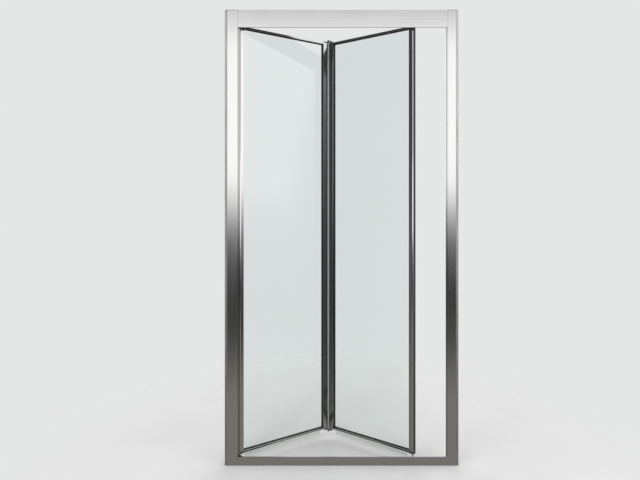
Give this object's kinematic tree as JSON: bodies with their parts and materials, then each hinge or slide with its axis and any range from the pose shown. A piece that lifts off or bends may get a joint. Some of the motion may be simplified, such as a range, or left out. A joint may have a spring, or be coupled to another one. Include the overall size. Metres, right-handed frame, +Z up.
{
  "type": "pivot shower door",
  "caption": "Framed folding shower door between two walls: glass leaves on a jamb pivot, a centre hinge and rollers led by a head track and a sill groove.",
  "frame": {"origin": "on the tray under the middle of the threshold, in the middle plane of the leaves when shut", "axes": "+Z up, +X towards the closing jamb, +Y into the shower, so -Y faces the room"},
  "size_m": [1, 0.2696, 1.95],
  "materials": {
    "polished_aluminium": "bright polished silver",
    "satin_aluminium": "mill finish",
    "clear_glass": "clear toughened",
    "black_gasket": "matt black",
    "clear_seal": "clear soft plastic",
    "grey_moulding": "moulded grey",
    "white_nylon": "natural nylon",
    "stainless_steel": "turned stainless",
    "chrome_cap": "bright plated",
    "magnet_strip": "dark flexible strip"
  },
  "bodies": {
    "frame": {"wall_channel_left": "satin_aluminium", "wall_channel_right": "satin_aluminium", "pivot_jamb": "polished_aluminium", "closing_jamb": "polished_aluminium", "jamb_end_caps": "grey_moulding", "header_beam": "polished_aluminium", "header_track_front": "polished_aluminium", "header_track_rear": "polished_aluminium", "header_fascia": "polished_aluminium", "threshold_plate": "polished_aluminium", "threshold_front_ridge": "polished_aluminium", "threshold_rear_ridge": "polished_aluminium", "water_bar": "polished_aluminium", "lower_pivot_block": "grey_moulding", "upper_pivot_block": "grey_moulding", "pivot_bushes": "white_nylon", "pivot_block_screws": "stainless_steel", "close_stop": "grey_moulding", "open_stop": "grey_moulding", "jamb_fin_seal": "black_gasket", "closing_magnet_strip": "magnet_strip", "corner_screws": "stainless_steel", "jamb_fixing_screws": "stainless_steel", "screw_cover_caps": "chrome_cap"},
    "pivot_leaf": {"pivot_stile": "polished_aluminium", "pivot_leaf_centre_stile": "polished_aluminium", "pivot_leaf_bottom_rail": "polished_aluminium", "pivot_leaf_top_rail": "polished_aluminium", "pivot_leaf_glass": "clear_glass", "pivot_leaf_gasket": "black_gasket", "pivot_leaf_wiper_seal": "clear_seal", "pivot_leaf_rail_screws": "stainless_steel", "pivot_leaf_bracket_screws": "stainless_steel", "pivot_leaf_lower_hinge_bracket": "grey_moulding", "pivot_leaf_upper_hinge_bracket": "grey_moulding", "pivot_plugs": "grey_moulding", "lower_pivot_pin": "stainless_steel", "upper_pivot_pin": "stainless_steel", "lower_hinge_pin": "stainless_steel", "upper_hinge_pin": "stainless_steel", "centre_seal": "clear_seal"},
    "leading_leaf": {"leading_stile": "polished_aluminium", "leading_leaf_centre_stile": "polished_aluminium", "leading_leaf_bottom_rail": "polished_aluminium", "leading_leaf_top_rail": "polished_aluminium", "leading_leaf_glass": "clear_glass", "leading_leaf_gasket": "black_gasket", "leading_leaf_wiper_seal": "clear_seal", "leading_leaf_rail_screws": "stainless_steel", "leading_leaf_bracket_screws": "stainless_steel", "leading_leaf_lower_hinge_bracket": "grey_moulding", "leading_leaf_upper_hinge_bracket": "grey_moulding", "leading_magnet_strip": "magnet_strip", "guide_plugs": "grey_moulding", "lower_guide_pin": "stainless_steel", "upper_guide_pin": "stainless_steel"},
    "top_guide_roller": {"top_guide_roller": "white_nylon"},
    "sill_guide_roller": {"sill_guide_roller": "white_nylon"}
  },
  "joints": [
    {"name": "leaf_pivot", "type": "hinge", "parent": "frame", "child": "pivot_leaf", "pos_m": [-0.44, 0, 0.965], "axis": [0, 0, 1], "range_deg": [-33.5, 48.5]},
    {"name": "centre_hinge", "type": "hinge", "parent": "pivot_leaf", "child": "leading_leaf", "pos_m": [-0.06647, 0.23285, 0.965], "axis": [0, 0, 1], "range_deg": [-97, 67]},
    {"name": "top_roller_spin", "type": "hinge", "parent": "leading_leaf", "child": "top_guide_roller", "pos_m": [0.30707, 0, 1.917], "axis": [0, 0, 1], "continuous": true},
    {"name": "sill_roller_spin", "type": "hinge", "parent": "leading_leaf", "child": "sill_guide_roller", "pos_m": [0.30707, 0, 0.0157], "axis": [0, 0, 1], "continuous": true}
  ],
  "couplings": [
    {"joint": "centre_hinge", "follows": "leaf_pivot", "ratio": -2}
  ]
}
